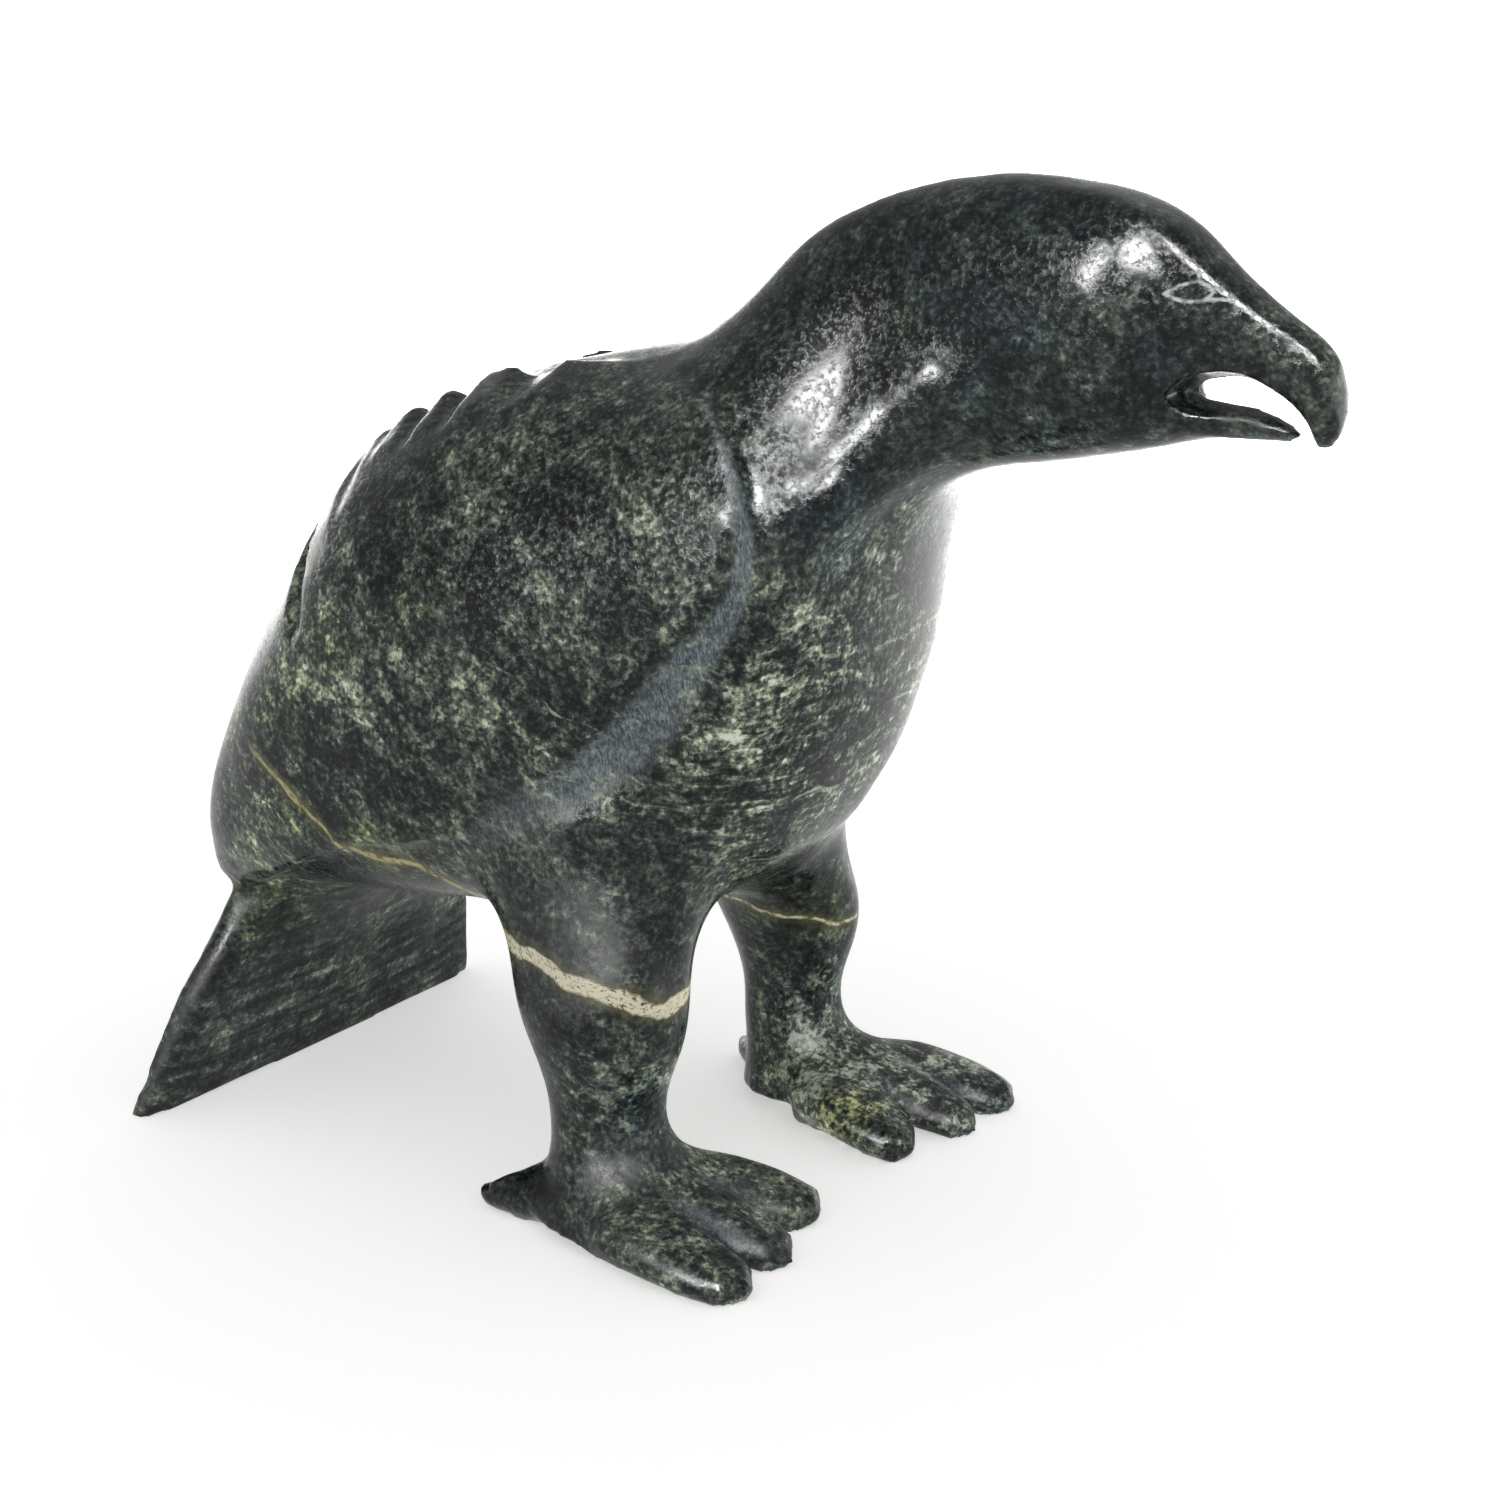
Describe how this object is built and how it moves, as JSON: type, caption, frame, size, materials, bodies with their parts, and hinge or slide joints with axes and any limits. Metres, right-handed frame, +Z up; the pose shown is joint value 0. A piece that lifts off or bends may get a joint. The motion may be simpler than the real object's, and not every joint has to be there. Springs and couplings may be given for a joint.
{
  "type": "stone bird carving",
  "caption": "Carved stone bird of prey with folded wings, stretched neck and hooked open beak, standing on its feet and tail as a shelf ornament.",
  "frame": {"origin": "on the ground under the middle of the carving's overall box", "axes": "+X towards the beak, +Y to the bird's left, +Z up from the soles"},
  "size_m": [0.2378, 0.1152, 0.1959],
  "materials": {
    "stone": "polished dark green serpentine"
  },
  "bodies": {
    "root": {"bird_carving": "stone"}
  },
  "joints": []
}
